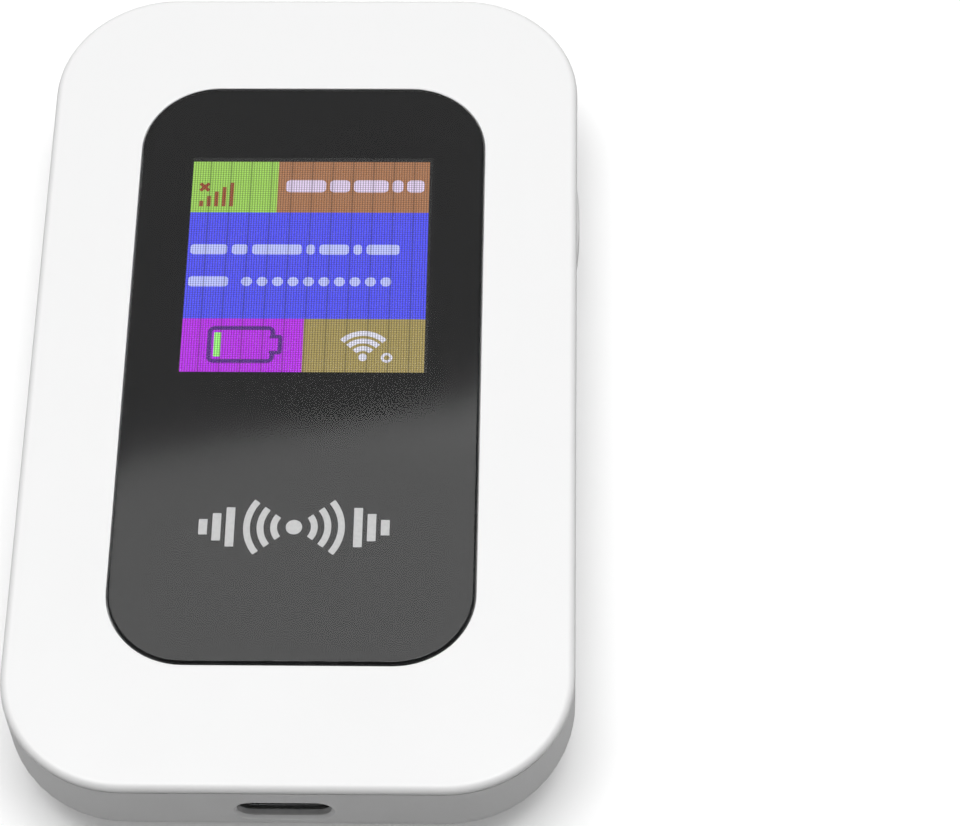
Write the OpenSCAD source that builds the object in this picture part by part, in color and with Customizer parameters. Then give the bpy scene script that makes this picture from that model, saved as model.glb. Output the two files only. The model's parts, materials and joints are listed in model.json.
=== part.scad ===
// Pocket mobile hotspot: a white two-shell case with a gloss black front panel, a small colour display, a removable
// back cover over a removable battery, a side power button and a USB-C inlet. Millimetres, +Z out of the display,
// +Y towards the top of the display, origin on the table under the middle of the case.

/* [Body] */
// Width of the case
body_w = 58; // [56:0.5:62]
// Length of the case
body_l = 98; // [96:0.5:104]
// Height of the white front face above the table
face_z = 12.5; // [12.5:0.1:14]
// Corner radius of the case in plan
corner_r = 13; // [12:0.5:14]
// Radius of the front cover's outer edge
edge_r = 0.8; // [0.6:0.1:1]
// Gap at each parting line
seam = 0.12; // [0.08:0.02:0.2]

/* [Back cover] */
// Height of the back cover's rim above the table
cover_rim_z = 3.2; // [3.1:0.1:3.3]
// How far the back curve rises before the side is upright
back_rise = 5.5; // [5.3:0.1:6]
// How far the back curve runs in from the side
back_run = 8.5; // [7:0.5:8.5]
// Thickness of the back cover's flat wall
back_wall = 1.2; // [1:0.1:1.2]

/* [Front panel] */
// Width of the black front panel
lens_w = 37.6; // [36:0.1:40]
// Length of the black front panel
lens_l = 71.4; // [70:0.1:74]
// Corner radius of the black front panel
lens_r = 8.2; // [6:0.1:10]
// How far the panel stands above the front face
lens_proud = 0.3; // [0.1:0.05:0.4]
// Width of the clear window in the panel's print
window_w = 26.4; // [24:0.1:27]
// Length of the clear window in the panel's print
window_l = 27.6; // [24:0.1:28]
// Distance of the window's middle from the case's middle
window_y = 13.4; // [12:0.1:15]

/* [Controls and inlet] */
// Distance of the power button from the case's middle
button_y = 20; // [16:0.1:24]
// Length of the power button
button_l = 10.6; // [8:0.1:11]
// Width of the USB opening in the case
port_w = 9.5; // [9.2:0.1:10.4]
// Height of the USB opening in the case
port_h = 3.3; // [3.2:0.1:3.4]

/* [Battery] */
// Width of the battery pack
battery_w = 44; // [40:0.5:44]
// Length of the battery pack with its end cap
battery_l = 60; // [50:0.5:60]
// Thickness of the battery pack
battery_t = 4.2; // [3.8:0.1:4.2]

/* [Hidden] */
$fn = 48;

white = "#f2f2f0";
black = "#161617";
steel = "#b9bbbe";
gold = "#d8b25a";
board_green = "#1d5b3a";
amber = "#c07a2c";
e = 0.01;

// Case walls, and the heights of the layers from the table up
wall = 1.5;
frame_z = cover_rim_z + seam;
frame_top = face_z - edge_r - seam;
ledge_t = 0.9;
floor_z = 6;
floor_t = 0.7;
board_z = 7.2;
board_t = 0.8;
board_top = board_z + board_t;
plate_t = 1.5;
plate_z = face_z - plate_t;
lens_t = 1;
print_t = 0.05;
adhesive_t = 0.1;
lens_top = face_z + lens_proud;
lens_z = lens_top - lens_t;
recess_z = lens_z - print_t - adhesive_t;
lens_gap = 0.1;
lens_y = 0.6;

// Locating lip under the front cover
lip_in = wall + 0.2;
lip_t = 0.9;
lip_h = 1.2;

// Display module: outline, and how far its middle lies from the window's middle
lcd_w = 30;
lcd_l = 35;
lcd_y = window_y - 1.6;
lcd_clear = 0.3;
lcd_top = lens_z - print_t - 0.3;
glass_t = 1.2;
backlight_t = 1.4;
backlight_z = lcd_top - glass_t - backlight_t;
lcd_end_y = lcd_y - lcd_l / 2;

// Case screws: one in each corner and one above the display
screw_spots = [[-21.5, -40.5], [21.5, -40.5], [-21.5, 40.5], [21.5, 40.5], [0, 33.5]];
screw_r = 0.65;
screw_bore_r = 0.7;
screw_pass_r = 0.85;
screw_head_r = 1.4;
screw_head_h = 0.6;
boss_r = 1.9;
post_r = 2.2;

// Skirt of the middle frame that the back cover wraps
skirt_in = 2.8;
skirt_t = 0.9;
skirt_z = 2.4;
cover_gap = 0.2;

// Battery bay
battery_y = -4;
battery_z = 1.6;
battery_end_y = battery_y + battery_l / 2;
cap_l = 2;
bay_gap = 0.3;
bay_wall = 0.8;
bay_z = 2.2;
bay_wall_y = battery_end_y + bay_gap + bay_wall / 2;
contact_x = -9;
contact_pitch = 3.2;
contact_z = 4.2;
connector_y = battery_end_y + bay_gap + bay_wall + 1.35;

// Card socket and reset key, on the board's back face
sim_x = 11;
sim_y = 36.5;
sim_w = 13;
sim_l = 12.4;
sim_t = 1.4;
reset_x = -17;
reset_y = 36.5;

// USB receptacle: its shell sits in a notch in the board's edge
port_z = 7.55;
usb_w = 8.94;
usb_h = 3.16;
usb_len = 7.2;
usb_mouth_y = -body_l / 2 + 1.3;
usb_end_y = usb_mouth_y + usb_len;
usb_skin = 0.3;
tongue_w = 6.7;
tongue_t = 0.7;
tongue_back = 1.6;
tongue_tip = 1.1;

// Power key: a crowned button, its stem and the switch that it presses
button_z = 8.9;
button_h = 3;
button_out = 0.28;
button_crown_r = 40;
key_gap = 0.15;
flange_x = body_w / 2 - wall - 0.05;
flange_t = 0.7;
switch_x = body_w / 2 - 7;
stem_x = switch_x + 2.6;
plunger_r = 0.6;
plunger_z = button_z + 0.1;

// A rounded rectangle in plan, from two bars and four corner discs
module rounded(w, l, r) {
    square([w - 2 * r, l], center = true);
    square([w, l - 2 * r], center = true);
    for (x = [-1, 1], y = [-1, 1])
        translate([x * (w / 2 - r), y * (l / 2 - r)]) circle(r = r);
}

// The case's plan, moved in from its side by the inset
module plan(inset) {
    rounded(body_w - 2 * inset, body_l - 2 * inset, corner_r - inset);
}

// A plate of the case's plan between two heights
module slab(inset, z0, z1) {
    translate([0, 0, z0]) linear_extrude(z1 - z0) plan(inset);
}

// A wall that follows the case's plan, from an outer inset inwards by its thickness
module ring(inset, t, z0, z1) {
    difference() {
        slab(inset, z0, z1);
        slab(inset + t, z0 - 1, z1 + 1);
    }
}

// A block between two heights, centred in plan on a point
module block(w, l, z0, z1, x = 0, y = 0) {
    translate([x - w / 2, y - l / 2, z0]) cube([w, l, z1 - z0]);
}

// A frame of rectangular plan around a free space of w by l
module fence(w, l, t, z0, z1, x = 0, y = 0) {
    difference() {
        block(w + 2 * t, l + 2 * t, z0, z1, x, y);
        block(w, l, z0 - 1, z1 + 1, x, y);
    }
}

// A bar's outline with round ends
module pill(w, h) {
    square([w - h, h], center = true);
    for (s = [-1, 1]) translate([s * (w - h) / 2, 0]) circle(d = h);
}

// A round-ended bar that is l long in Y and h high, and runs along X
module pill_x(l, h, x0, x1, y, z) {
    translate([x0, y, z]) rotate([90, 0, 90]) linear_extrude(x1 - x0) pill(l, h);
}

// A round-ended bar that is w wide in X and h high, and runs along Y
module pill_y(w, h, y0, y1, z) {
    translate([0, y1, z]) rotate([90, 0, 0]) linear_extrude(y1 - y0) pill(w, h);
}

module screw_places() {
    for (p = screw_spots) translate([p[0], p[1], 0]) children();
}

// A dish whose side follows a quarter ellipse: it starts level at the floor, run in from the side, and stands
// upright at floor + rise. The dish is cut off level at z0 and z1.
module dish(base, floor, run, rise, z0, z1, steps) {
    a0 = acos(1 - (z0 - floor) / rise);
    a1 = acos(max(0, 1 - (z1 - floor) / rise));
    hull() for (i = [0:steps]) {
        a = a0 + (a1 - a0) * i / steps;
        top = i == steps ? e : 0;
        translate([0, 0, floor + rise * (1 - cos(a)) - top]) linear_extrude(e)
            plan(base + run * (1 - sin(a)));
    }
}

// Front shell -------------------------------------------------------------------------------------------------

// The front face and its rounded edge, from the parting line up
module front_skin() {
    hull() for (a = [0:15:90]) {
        top = a == 90 ? e : 0;
        translate([0, 0, face_z - edge_r * (1 - sin(a)) - top]) linear_extrude(e) plan(edge_r * (1 - cos(a)));
    }
}

module front_cover() {
    color(white) difference() {
        union() {
            front_skin();
            slab(lip_in, plate_z, face_z - edge_r + e);
            ring(lip_in, lip_t, plate_z - lip_h, plate_z + e);
            screw_places() translate([0, 0, board_top]) cylinder(r = boss_r, h = plate_z - board_top + e);
            fence(lcd_w + 2 * lcd_clear, lcd_l + 2 * lcd_clear, 0.7, backlight_z + 0.4, plate_z + e, 0, lcd_y);
        }
        translate([0, lens_y, recess_z]) linear_extrude(2)
            rounded(lens_w + 2 * lens_gap, lens_l + 2 * lens_gap, lens_r + lens_gap);
        block(lcd_w + 2 * lcd_clear, lcd_l + 2 * lcd_clear, plate_z - 3, face_z, 0, lcd_y);
        // Way out for the display's flexible cable
        block(13, 3, plate_z - 3, plate_z, 0, lcd_end_y - 0.6);
        screw_places() translate([0, 0, board_top - 1]) cylinder(r = screw_bore_r, h = plate_z - board_top + 0.6);
        // Room behind the lip for the power button's flange
        block(2.4, button_l + 3, plate_z - lip_h - 1, plate_z, body_w / 2 - wall - 0.8, button_y);
    }
}

module lens_panel() {
    color(black) translate([0, lens_y, lens_z]) linear_extrude(lens_t) rounded(lens_w, lens_l, lens_r);
}

// Black print on the panel's back, clear over the display
module lens_print() {
    color(black) difference() {
        translate([0, lens_y, lens_z - print_t]) linear_extrude(print_t) rounded(lens_w, lens_l, lens_r);
        block(window_w, window_l, lens_z - 1, lens_top, 0, window_y);
    }
}

module lens_adhesive() {
    color("#3a3a3c") difference() {
        translate([0, lens_y, recess_z]) linear_extrude(adhesive_t) rounded(lens_w - 1, lens_l - 1, lens_r - 0.5);
        block(lcd_w + 2 * lcd_clear, lcd_l + 2 * lcd_clear, recess_z - 1, lens_z + 1, 0, lcd_y);
    }
}

// Printed mark on the panel's face: a dot between pairs of arcs, with rising bars at each side
emblem_y = -19.5;
emblem_t = 0.02;
module lens_emblem() {
    color("#cfd0ce") translate([0, emblem_y, lens_top]) {
        cylinder(r = 0.85, h = emblem_t);
        for (side = [0, 180], r = [2.1, 3.5, 4.9]) rotate([0, 0, side - 38]) rotate_extrude(angle = 76)
            translate([r - 0.35, 0]) square([0.7, emblem_t]);
        for (s = [-1, 1], i = [0:2]) block(0.9, 4.6 - 1.4 * i, 0, emblem_t, s * (6.6 + 1.4 * i));
    }
}

// Display -----------------------------------------------------------------------------------------------------

module lcd_gasket() {
    color("#202022") fence(window_w + 0.8, window_l + 0.8, 0.9, lcd_top, lens_z - print_t, 0, window_y);
}

module lcd_glass() {
    color("#20262c") block(lcd_w, lcd_l, lcd_top - glass_t, lcd_top, 0, lcd_y);
}

module lcd_backlight() {
    color("#e9e9e6") difference() {
        block(lcd_w, lcd_l - 2, backlight_z, backlight_z + backlight_t, 0, lcd_y + 1);
        block(4, 1.2, backlight_z - 1, backlight_z + 3, 9, lcd_y + lcd_l / 2);
    }
}

module lcd_pad() {
    color("#2a2a2c") block(24, 26, board_top, backlight_z, 0, lcd_y + 1);
}

// Amber film that leaves the display's lower ledge and folds down to its connector
flex_t = 0.12;
module lcd_flex() {
    y = lcd_end_y + 1;
    z0 = board_top + 0.9;
    z1 = backlight_z + backlight_t;
    color(amber) translate([-6, 0, 0]) rotate([90, 0, 90]) linear_extrude(12) polygon([
        [y, z1], [y - 2.2, z1 - 0.4], [y - 4.2, z0 + 0.1], [y - 6.4, z0],
        [y - 6.4, z0 + flex_t], [y - 4.1, z0 + 0.1 + flex_t], [y - 2.1, z1 - 0.4 + flex_t], [y - 0.6, z1]
    ]);
}

module lcd_connector() {
    color("#e7e2d2") block(13, 3, board_top, board_top + 0.85, 0, lcd_end_y - 5.4);
}

// Board -------------------------------------------------------------------------------------------------------

board_w = 51;
board_l = 91;
module main_board() {
    color(board_green) difference() {
        translate([0, 0, board_z]) linear_extrude(board_t) rounded(board_w, board_l, 9.5);
        screw_places() translate([0, 0, board_z - 1]) cylinder(r = screw_pass_r, h = 3);
        block(usb_w + 0.5, 12, board_z - 1, board_top + 1, 0, usb_end_y - 5.9);
        for (y = [-20, 0, 20]) block(1.6, 4, board_z - 1, board_top + 1, -board_w / 2, y);
        for (x = [-12, 12]) translate([x, -44, board_z - 1]) cylinder(r = 0.6, h = 3);
    }
}

// A pressed can with an open underside and nine pick-up dimples
module can(w, l, h, x, y) {
    color(steel) difference() {
        block(w, l, board_top, board_top + h, x, y);
        block(w - 0.3, l - 0.3, board_top - 1, board_top + h - 0.15, x, y);
        for (i = [-1:1], j = [-1:1]) translate([x + i * w / 4, y + j * l / 4, board_top + h - 0.5])
            cylinder(r = 0.45, h = 1, $fn = 16);
    }
}

can_h = 1.7;
module baseband_shield() { can(21, 19, can_h, -12.5, -24.5); }
module rf_shield() { can(20, 19, can_h, 12.5, -24.5); }
module wifi_shield() { can(13, 6, can_h, 9.5, 38.5); }

// Chips under the cans and beside the display: [x, y, width, length, height]
chips = [
    [-12.5, -24.5, 12, 12, 1.2], [-12.5, -33, 6, 1.4, 0.8], [9, -24.5, 6, 6, 1], [16.5, -21, 4, 5, 0.9],
    [-20, -8.5, 5, 5, 0.9], [20, -8.5, 4, 4, 0.9], [-20.5, 8, 4, 6, 0.8], [9.5, 38.5, 5, 4.5, 0.9]
];
module board_chips() {
    color("#242427") for (c = chips) block(c[2], c[3], board_top, board_top + c[4], c[0], c[1]);
}

// Capacitors and resistors in rows
module board_passives() {
    color("#b39b78") {
        for (i = [0:9]) block(1, 0.5, board_top, board_top + 0.5, -18 + 4 * i, -13.6);
        for (i = [0:7]) block(0.5, 1, board_top, board_top + 0.45, -23.9, -6 + 3 * i);
        for (i = [0:3]) block(0.5, 1, board_top, board_top + 0.45, 23.6, -4 + 3 * i);
        for (s = [-1, 1], i = [0:4]) block(1.6, 0.8, board_top, board_top + 0.7, s * (6.4 + 3 * i), -36.4);
        for (i = [0:3]) block(0.8, 1.6, board_top, board_top + 0.7, -14 + 2.4 * i, 36);
    }
}

module usb_shell() {
    color(steel) {
        difference() {
            pill_y(usb_w, usb_h, usb_mouth_y, usb_end_y, port_z);
            pill_y(usb_w - 2 * usb_skin, usb_h - 2 * usb_skin, usb_mouth_y - 1, usb_end_y + 1, port_z);
        }
        for (s = [-1, 1], y = [2.6, 5.6])
            block(1.2, 1.2, board_top, board_top + 0.25, s * (usb_w / 2 + 0.35), usb_mouth_y + y);
    }
}

module usb_tongue() {
    inner_w = usb_w - 2 * usb_skin - 0.04;
    inner_h = usb_h - 2 * usb_skin - 0.04;
    y0 = usb_mouth_y + tongue_tip;
    y1 = usb_end_y - tongue_back;
    color("#1b1b1d") {
        pill_y(inner_w, inner_h, y1, usb_end_y, port_z);
        block(tongue_w, y1 - y0 + e, port_z - tongue_t / 2, port_z + tongue_t / 2, 0, (y0 + y1 + e) / 2);
    }
}

// Two rows of twelve contacts on the tongue
module usb_contacts() {
    y0 = usb_mouth_y + tongue_tip + 0.3;
    y1 = usb_end_y - tongue_back;
    contact_t = 0.06;
    color(gold) for (i = [0:11], s = [-1, 1]) {
        z = port_z + s * (tongue_t + contact_t) / 2;
        block(0.25, y1 - y0, z - contact_t / 2, z + contact_t / 2, (i - 5.5) * 0.5, (y0 + y1) / 2);
    }
}

// Card socket: a plastic base on the board, eight contacts and a pressed cage
sim_base_t = 0.45;
module sim_base() {
    color("#1e1e20") block(sim_w - 0.6, sim_l - 0.6, board_z - sim_base_t, board_z, sim_x, sim_y);
}

module sim_cage() {
    color(steel) difference() {
        block(sim_w, sim_l, board_z - sim_t, board_z, sim_x, sim_y);
        block(sim_w - 0.4, sim_l + 1, board_z - sim_t + 0.2, board_z + 1, sim_x, sim_y - 0.8);
        block(sim_w - 5, sim_l - 6, board_z - sim_t - 1, board_z, sim_x, sim_y + 0.5);
        translate([sim_x, sim_y - sim_l / 2, board_z - sim_t - 1]) cylinder(r = 2.4, h = 2);
    }
}

module sim_contacts() {
    z = board_z - sim_base_t;
    color(gold) for (i = [0:3], s = [-1, 1])
        block(0.9, 2.4, z - 0.15, z, sim_x + (i - 1.5) * 2.54, sim_y + 0.5 + s * 2.6);
}

module battery_connector() {
    color("#1c1c1e") difference() {
        block(12, 2.5, 2.6, board_z, contact_x, connector_y);
        for (i = [-1:1]) block(1.1, 1.6, 3, 5.4, contact_x + i * contact_pitch, connector_y - 0.9);
    }
}

// Three bowed leaf springs that reach through the bay wall to the battery's pads
module battery_springs() {
    root = connector_y - 0.3;
    tip = battery_end_y + 0.08;
    leaf = 0.15;
    color(gold) for (i = [-1:1])
        translate([contact_x + i * contact_pitch - 0.45, 0, contact_z]) rotate([90, 0, 90]) linear_extrude(0.9)
            polygon([
                [root, -1.1], [tip + 0.5, -0.9], [tip, 0], [tip + 0.5, 0.9], [root, 1.1],
                [root, 1.1 - leaf], [tip + 0.6, 0.78], [tip + leaf, 0], [tip + 0.6, -0.78], [root, leaf - 1.1]
            ]);
}

// Side key: a switch on the board's front face, its sprung plunger and the button
module power_switch() {
    color("#c9cacc") difference() {
        block(3, 4.4, board_top, board_top + 2, switch_x, button_y);
        translate([switch_x - 0.3, button_y, plunger_z]) rotate([0, 90, 0]) cylinder(r = plunger_r + 0.05, h = 3);
    }
}

module power_plunger() {
    color("#303033") translate([switch_x + 0.3, button_y, plunger_z]) rotate([0, 90, 0])
        cylinder(r = plunger_r, h = stem_x - switch_x - 0.35);
}

module power_button() {
    crown_x = body_w / 2 + button_out - button_crown_r;
    color(white) {
        intersection() {
            pill_x(button_l, button_h, flange_x - flange_t, body_w / 2 + 1, button_y, button_z);
            translate([crown_x, button_y, 0]) cylinder(r = button_crown_r, h = 2 * button_z, $fn = 96);
        }
        pill_x(button_l + 1.4, button_h + 1, flange_x - flange_t, flange_x, button_y, button_z);
        pill_x(2.6, 1.4, stem_x, flange_x - flange_t + e, button_y, button_z);
    }
}

module reset_switch() {
    color("#c9cacc") difference() {
        block(3, 3, board_z - 1, board_z, reset_x, reset_y);
        translate([reset_x, reset_y, board_z - 2]) cylinder(r = 0.75, h = 1.6);
    }
}

module reset_plunger() {
    color("#303033") translate([reset_x, reset_y, board_z - 1.4]) cylinder(r = 0.7, h = 0.7);
}

// Middle frame ------------------------------------------------------------------------------------------------

// Where the snap ridges are: [direction across X, direction across Y, place along the side]
snap_places = [
    [-1, 0, 24], [-1, 0, -2], [-1, 0, -28], [1, 0, 24], [1, 0, -2], [1, 0, -28], [0, 1, 9], [0, 1, -9],
    [0, -1, 12], [0, -1, -12]
];
snap_l = 5;
snap_z0 = 2.6;
snap_z1 = 3;

// Short ridges on the skirt's face; grow widens them for the grooves in the cover
module snaps(grow) {
    t = 0.3 + 2 * grow;
    l = snap_l + 2 * grow;
    for (s = snap_places)
        block(s[0] != 0 ? t : l, s[0] != 0 ? l : t, snap_z0 - grow, snap_z1 + grow,
              s[0] != 0 ? s[0] * (body_w / 2 - skirt_in) : s[2], s[0] != 0 ? s[2] : s[1] * (body_l / 2 - skirt_in));
}

// The side band: curved below, upright above, with a ledge that carries the skirt
module side_band() {
    difference() {
        union() {
            dish(0, 0, back_run, back_rise, frame_z, back_rise, 5);
            slab(0, back_rise - e, frame_top);
        }
        slab(wall, frame_z + ledge_t, frame_top + 1);
        slab(skirt_in + skirt_t, frame_z - 1, frame_top);
    }
}

// The USB opening, with a chamfer round its mouth
module port_cut() {
    chamfer = 0.35;
    y = -body_l / 2;
    pill_y(port_w, port_h, y - 1, y + 5, port_z);
    hull() {
        pill_y(port_w + 2 * chamfer, port_h + 2 * chamfer, y - e, y, port_z, $fn = 32);
        pill_y(port_w, port_h, y + chamfer, y + chamfer + e, port_z, $fn = 32);
    }
}

module middle_frame() {
    color(white) difference() {
        union() {
            side_band();
            ring(skirt_in, skirt_t, skirt_z, floor_z + floor_t);
            slab(skirt_in + skirt_t - e, floor_z, floor_z + floor_t);
            snaps(0);
            fence(battery_w + 2 * bay_gap, battery_l + 2 * bay_gap, bay_wall, bay_z, floor_z + e, 0, battery_y);
            screw_places() translate([0, 0, floor_z]) cylinder(r = post_r, h = board_z - floor_z);
            for (x = [-18, 18], y = [-15, 5]) translate([x, y, floor_z]) cylinder(r = 1.2, h = board_z - floor_z);
        }
        screw_places() translate([0, 0, floor_z - 2]) cylinder(r = screw_pass_r, h = 5);
        port_cut();
        block(usb_w + 1.6, usb_len + 1, floor_z - 1, floor_z + 2, 0, (usb_mouth_y + usb_end_y) / 2 + 0.2);
        pill_x(button_l + 2 * key_gap, button_h + 2 * key_gap, body_w / 2 - 5, body_w / 2 + 1, button_y, button_z);
        block(sim_w + 1, sim_l + 2.6, floor_z - 1, floor_z + 2, sim_x, sim_y - 0.8);
        block(3.6, 3.6, floor_z - 1, floor_z + 2, reset_x, reset_y);
        block(12.4, 3, floor_z - 1, floor_z + 2, contact_x, connector_y);
        block(9.6, 2, 2.8, 5.6, contact_x, bay_wall_y);
        // Finger cut-out in the bay's lower wall, to lift the battery
        translate([14, battery_y - (bay_wall_y - battery_y), bay_z]) rotate([90, 0, 0])
            cylinder(r = 3, h = 3, center = true);
    }
}

label_t = 0.1;
module bay_label() {
    color("#eceae4") block(36, 46, floor_z - label_t, floor_z, 0, battery_y - 3);
}

// Antennas ----------------------------------------------------------------------------------------------------

film_t = 0.15;

// A copper-clad film under the front cover, cut into a meander by two slots
module film(w, l, x, y) {
    color("#b9853f") difference() {
        block(w, l, plate_z - film_t, plate_z, x, y);
        block(w - 4, 0.8, plate_z - 1, plate_z + 1, x + 1.4, y - l / 5);
        block(w - 4, 0.8, plate_z - 1, plate_z + 1, x - 1.4, y + l / 5);
    }
}

module main_antenna() { film(34, 6, 0, -42); }
module diversity_antenna() { film(14, 5.5, 9.5, 42); }
module wifi_antenna() { film(14, 5.5, -9.5, 42); }

// Sprung contacts from the board up to the antenna films
clip_spots = [[-13, -40.5], [-7, -40.5], [11, -40.5], [5, 43], [-5, 41], [-12.5, 43]];
module antenna_clips() {
    z0 = board_top;
    z1 = plate_z - film_t - 0.02;
    color(gold) for (c = clip_spots)
        translate([c[0] - 0.5, c[1], 0]) rotate([90, 0, 90]) linear_extrude(1) polygon([
            [-0.9, z0], [0.9, z0], [0.9, z0 + 0.12], [-0.72, z0 + 0.14], [0.3, z1 - 0.5], [0.1, z1 - 0.04],
            [-0.5, z1], [-0.5, z1 - 0.12], [0, z1 - 0.16], [0.14, z1 - 0.5], [-0.9, z0 + 0.2]
        ]);
}

// Pan-head self-tapping screws, driven from the battery side into the front cover's bosses
module case_screws() {
    color("#8d9094") screw_places() difference() {
        union() {
            translate([0, 0, floor_z - screw_head_h]) cylinder(r = screw_head_r, h = screw_head_h);
            translate([0, 0, floor_z - e]) cylinder(r = screw_r, h = plate_z - floor_z - 1);
        }
        for (a = [0, 90]) rotate([0, 0, a]) block(1.7, 0.35, floor_z - 1, floor_z - screw_head_h + 0.35);
    }
}

// Battery -----------------------------------------------------------------------------------------------------

sleeve_t = 0.1;
module battery_section(less) {
    translate([0, battery_z + battery_t / 2]) rounded(battery_w - 2 * less, battery_t - 2 * less, 0.9);
}

// A stretch of the battery's section that ends l from its start at y1
module battery_stretch(y1, l, less) {
    translate([0, y1, 0]) rotate([90, 0, 0]) linear_extrude(l) battery_section(less);
}

module battery_cell() {
    color("#b8bcc2") battery_stretch(battery_end_y - cap_l, battery_l - cap_l, sleeve_t + 0.01);
}

module battery_sleeve() {
    y1 = battery_end_y - cap_l - 2;
    l = battery_l - cap_l - 3;
    color("#e9e9e7") difference() {
        battery_stretch(y1, l, 0);
        battery_stretch(y1 + 1, l + 2, sleeve_t);
    }
}

pad_w = 2;
module battery_cap() {
    color("#1f1f21") difference() {
        battery_stretch(battery_end_y, cap_l, 0);
        for (i = [-1:1])
            block(pad_w, 0.6, contact_z - 1, contact_z + 1, contact_x + i * contact_pitch, battery_end_y);
    }
}

module battery_terminals() {
    color(gold) for (i = [-1:1])
        block(pad_w, 0.25, contact_z - 1, contact_z + 1, contact_x + i * contact_pitch, battery_end_y - 0.175);
}

// Back cover --------------------------------------------------------------------------------------------------

module back_cover() {
    inner = skirt_in - cover_gap;
    color(white) difference() {
        union() {
            difference() {
                dish(0, 0, back_run, back_rise, 0, cover_rim_z, 9);
                dish(inner, back_wall, 3.6, 2.2, back_wall, back_wall + 2.2, 5);
                slab(inner, skirt_z - 0.15, cover_rim_z + 1);
            }
            for (y = [-40, 33, 40]) block(30, 0.8, back_wall - 0.2, back_wall + 0.8, 0, y);
        }
        snaps(0.12);
        // Fingernail notch in the rim at the lower end
        translate([0, -body_l / 2 + 0.3, cover_rim_z]) rotate([0, 90, 0]) cylinder(r = 1.3, h = 12, center = true);
    }
}

module cover_foam() {
    color("#3c3c3f") for (y = [-24, 14]) block(26, 4, back_wall, battery_z - 0.06, 0, y);
}

front_cover();
lens_panel();
lens_print();
lens_adhesive();
lens_emblem();
lcd_gasket();
lcd_glass();
lcd_backlight();
lcd_pad();
lcd_flex();
lcd_connector();
main_board();
baseband_shield();
rf_shield();
wifi_shield();
board_chips();
board_passives();
usb_shell();
usb_tongue();
usb_contacts();
sim_base();
sim_cage();
sim_contacts();
battery_connector();
battery_springs();
power_switch();
power_plunger();
reset_switch();
reset_plunger();
power_button();
middle_frame();
main_antenna();
diversity_antenna();
wifi_antenna();
antenna_clips();
case_screws();
bay_label();
battery_cell();
battery_sleeve();
battery_cap();
battery_terminals();
back_cover();
cover_foam();
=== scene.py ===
"""Looks of a pocket mobile hotspot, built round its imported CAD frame.

All sizes are millimetres in the frame's own axes: +Z out of the display, +Y towards the display's upper edge,
and the origin on the table under the middle of the case. They become metres when a mesh is made.
"""

from __future__ import annotations

import json
import logging
import math
from dataclasses import dataclass
from dataclasses import field
from enum import Enum

import bmesh
import bpy
import numpy as np
from mathutils import Matrix


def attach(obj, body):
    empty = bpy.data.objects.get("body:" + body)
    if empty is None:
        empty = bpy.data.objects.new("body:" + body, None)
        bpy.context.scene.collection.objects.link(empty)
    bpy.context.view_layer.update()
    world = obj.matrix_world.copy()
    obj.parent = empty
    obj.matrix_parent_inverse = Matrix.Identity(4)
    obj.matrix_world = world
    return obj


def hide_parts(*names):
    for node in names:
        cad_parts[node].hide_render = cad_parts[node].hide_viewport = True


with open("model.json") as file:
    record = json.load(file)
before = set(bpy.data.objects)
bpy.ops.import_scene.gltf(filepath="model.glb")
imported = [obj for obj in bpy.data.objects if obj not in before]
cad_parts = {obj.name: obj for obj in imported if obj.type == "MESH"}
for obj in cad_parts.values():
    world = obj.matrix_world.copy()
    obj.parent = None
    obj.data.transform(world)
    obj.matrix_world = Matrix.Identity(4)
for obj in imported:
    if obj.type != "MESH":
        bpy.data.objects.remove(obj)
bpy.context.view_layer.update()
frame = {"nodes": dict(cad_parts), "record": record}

LOG = logging.getLogger("hotspot")
MM = 0.001
SHARP_ANGLE = math.radians(32)
PILL_TIP = 7
# A wave texture of scale 1 repeats after pi / 10 along its Object coordinates
WAVE_PERIOD = 0.31416


# Surfaces -----------------------------------------------------------------------------------------


class Ends(Enum):
    """How the first and the last loop of a skin are closed."""

    FANS = "a fan of triangles to the middle of each end loop"
    JOINED = "the last loop runs on into the first"
    RUNGS = "straight rungs across each end loop, from each point to its mirror image"


@dataclass
class Surface:
    """A closed surface as plain arrays.

    Args:
        points: Corner places in millimetres, one row each.
        quads: Four corner numbers a row.
        triangles: Three corner numbers a row.
        tint: Linear colour of the whole surface, where its finish reads one.
    """

    points: np.ndarray
    quads: np.ndarray
    triangles: np.ndarray
    tint: tuple[float, float, float, float] = (0.0, 0.0, 0.0, 1.0)

    def volume(self) -> float:
        """Returns the signed volume: the sum of the cones from the origin to each triangle."""
        split = np.concatenate([self.quads[:, [0, 1, 2]], self.quads[:, [0, 2, 3]], self.triangles])
        a, b, c = (self.points[split[:, i]] for i in range(3))
        return float(np.einsum("ij,ij->i", a, np.cross(b, c)).sum() / 6)

    def outward(self) -> Surface:
        """Returns the surface with its faces pointing outwards, turned round if its volume is negative."""
        if self.volume() < 0:
            self.quads = self.quads[:, ::-1]
            self.triangles = self.triangles[:, ::-1]
        return self

    def coloured(self, tint: tuple[float, float, float, float]) -> Surface:
        """Returns the surface with that colour."""
        self.tint = tint
        return self


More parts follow.
